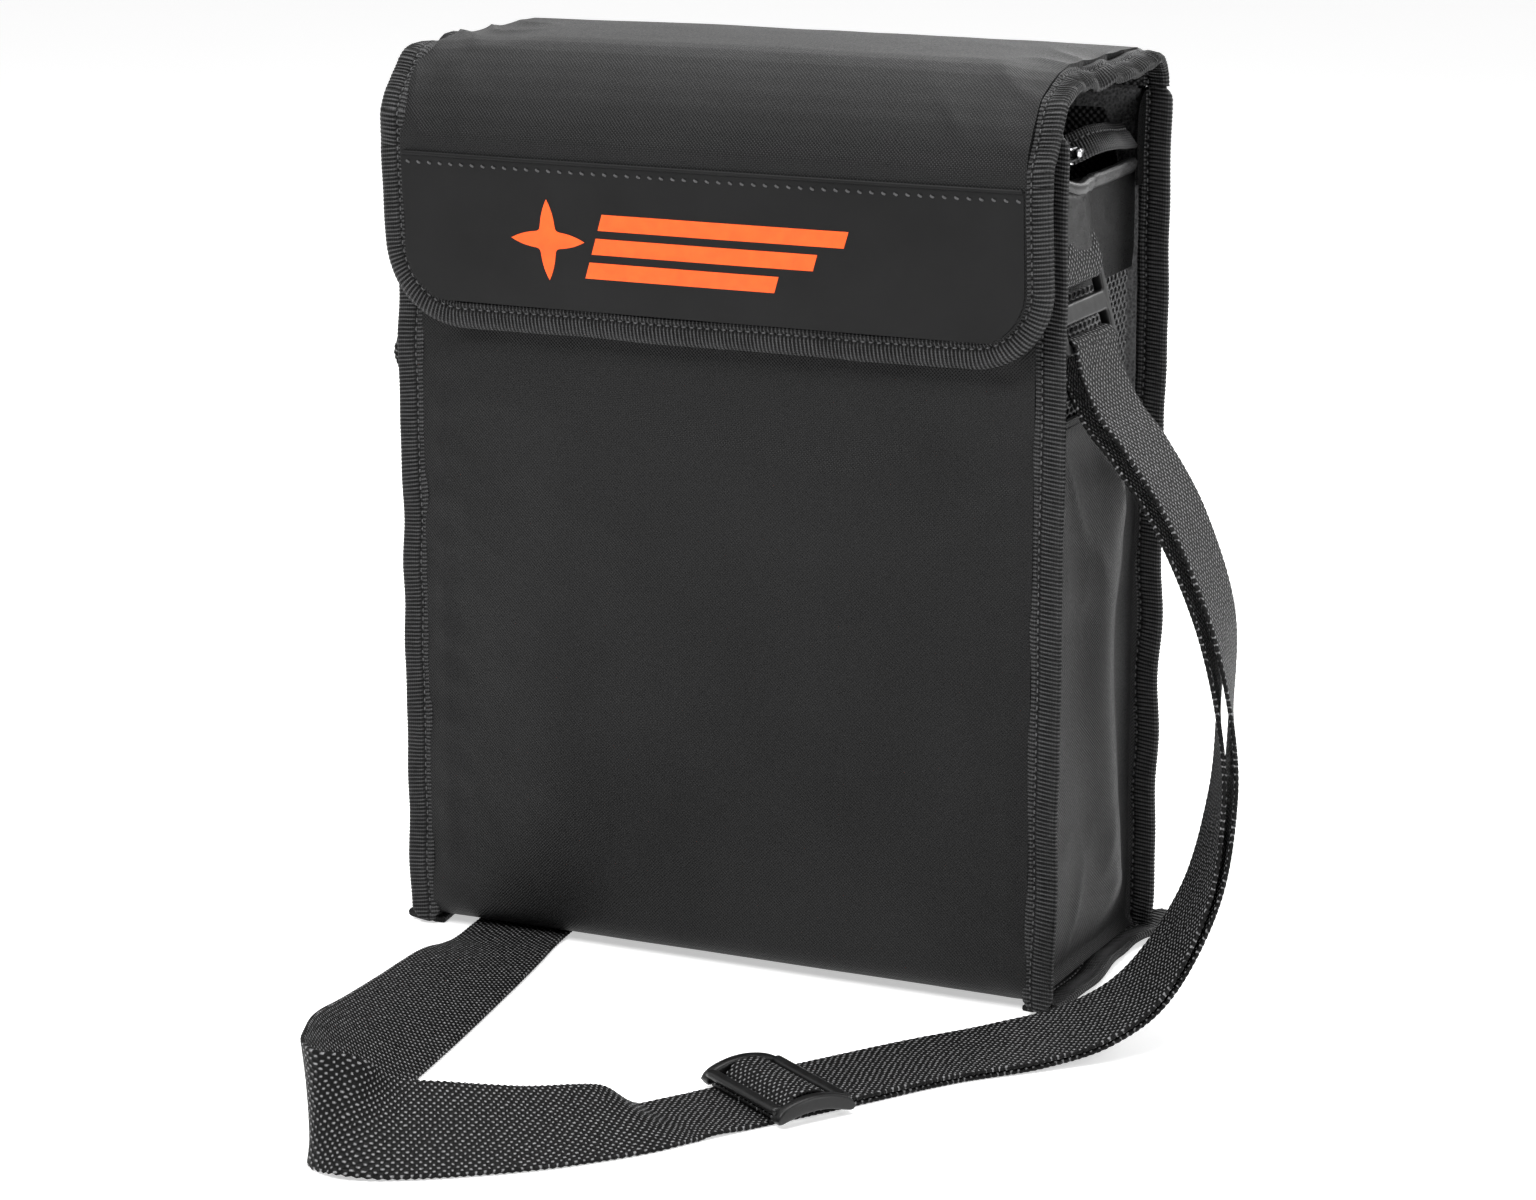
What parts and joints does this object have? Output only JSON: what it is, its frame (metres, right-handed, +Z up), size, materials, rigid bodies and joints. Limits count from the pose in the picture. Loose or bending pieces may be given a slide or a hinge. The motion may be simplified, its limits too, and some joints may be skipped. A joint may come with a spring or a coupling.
{
  "type": "telescope carry case",
  "caption": "Soft padded carry case with a wrap-over flap, zipped top, bound seams, mesh vents and an adjustable webbing shoulder strap.",
  "frame": {"origin": "centre of the case on the surface it stands on, measured without the strap", "axes": "+Z up, -Y the front under the flap, +X towards the side with the doubled strap"},
  "size_m": [0.3459, 0.3874, 0.3301],
  "materials": {
    "nylon": "fine woven black nylon with a soft sheen",
    "plain_nylon": "smooth black nylon",
    "foam": "grey closed-cell foam",
    "board": "thin stiff board",
    "lining_cloth": "coarse woven black lining",
    "mesh": "open spacer mesh",
    "grosgrain": "ribbed binding tape",
    "hook_and_loop": "hook and loop tape",
    "zip_tape": "zip tape with a nylon coil",
    "metal": "plated die-cast metal",
    "moulded_plastic": "satin black moulded plastic",
    "vinyl": "smooth matte black vinyl",
    "webbing": "herringbone polypropylene webbing"
  },
  "bodies": {
    "case": {"outer_wrap": "nylon", "front_foam": "foam", "back_foam": "foam", "base_board": "board", "base_foam": "foam", "lining": "lining_cloth", "front_top_binding": "grosgrain", "loop_strip": "hook_and_loop", "right_gusset": "nylon", "left_gusset": "nylon", "right_gusset_foam": "foam", "left_gusset_foam": "foam", "right_mesh": "mesh", "left_mesh": "mesh", "right_patch": "plain_nylon", "left_patch": "plain_nylon", "right_front_binding": "grosgrain", "left_front_binding": "grosgrain", "right_rear_binding": "grosgrain", "left_rear_binding": "grosgrain", "right_bottom_binding": "grosgrain", "left_bottom_binding": "grosgrain", "right_zip_end": "zip_tape", "left_zip_end": "zip_tape", "right_zip_tab": "grosgrain", "left_zip_tab": "grosgrain", "right_strap_tab": "webbing", "left_strap_tab": "webbing", "left_strap_tail": "webbing", "strap_main": "webbing", "strap_return": "webbing"},
    "flap_top": {"flap_top_panel": "nylon", "flap_top_lining": "lining_cloth", "flap_right_binding": "grosgrain", "flap_left_binding": "grosgrain"},
    "flap_front": {"flap_front_panel": "nylon", "flap_front_lining": "lining_cloth", "flap_band": "vinyl", "flap_front_binding": "grosgrain", "hook_strip": "hook_and_loop"},
    "front_leaf": {"front_leaf": "plain_nylon", "front_zip_tape": "zip_tape"},
    "rear_leaf": {"rear_leaf": "plain_nylon", "rear_zip_tape": "zip_tape"},
    "zip_slider": {"zip_slider": "metal"},
    "zip_puller": {"zip_puller": "metal"},
    "right_ring": {"right_ring": "moulded_plastic", "right_strap_loop": "webbing"},
    "left_ring": {"left_ring": "moulded_plastic", "left_strap_loop": "webbing"},
    "strap_slider": {"strap_slider": "moulded_plastic", "strap_slider_webbing": "webbing"}
  },
  "joints": [
    {"name": "flap_lift", "type": "hinge", "parent": "case", "child": "flap_top", "pos_m": [0, 0.058, 0.316], "axis": [-1, 0, 0], "range_deg": [0, 180]},
    {"name": "flap_front_fold", "type": "hinge", "parent": "flap_top", "child": "flap_front", "pos_m": [0, -0.058, 0.294], "axis": [-1, 0, 0], "range_deg": [0, 110]},
    {"name": "front_leaf_fold", "type": "hinge", "parent": "case", "child": "front_leaf", "pos_m": [0, -0.0401, 0.294], "axis": [-1, 0, 0], "range_deg": [0, 90]},
    {"name": "rear_leaf_fold", "type": "hinge", "parent": "case", "child": "rear_leaf", "pos_m": [0, 0.0521, 0.294], "axis": [1, 0, 0], "range_deg": [0, 90]},
    {"name": "zip_slide", "type": "slide", "parent": "case", "child": "zip_slider", "axis": [-1, 0, 0], "range_m": [0, 0.218]},
    {"name": "zip_pull_swing", "type": "hinge", "parent": "zip_slider", "child": "zip_puller", "pos_m": [0.109, 0, 0.3024], "axis": [0, 1, 0], "range_deg": [0, 170]},
    {"name": "right_ring_swing", "type": "hinge", "parent": "case", "child": "right_ring", "pos_m": [0.1207, -0.017, 0.259], "axis": [0, -1, 0], "range_deg": [-12, 80], "deforming": ["strap_main", "strap_return"]},
    {"name": "left_ring_swing", "type": "hinge", "parent": "case", "child": "left_ring", "pos_m": [-0.1207, -0.017, 0.259], "axis": [0, 1, 0], "range_deg": [-12, 80], "deforming": ["left_strap_tail"]},
    {"name": "slider_along_strap", "type": "slide", "parent": "case", "child": "strap_slider", "axis": [0.5446, 0.8387, 0], "range_m": [-0.02, 0.035]}
  ]
}
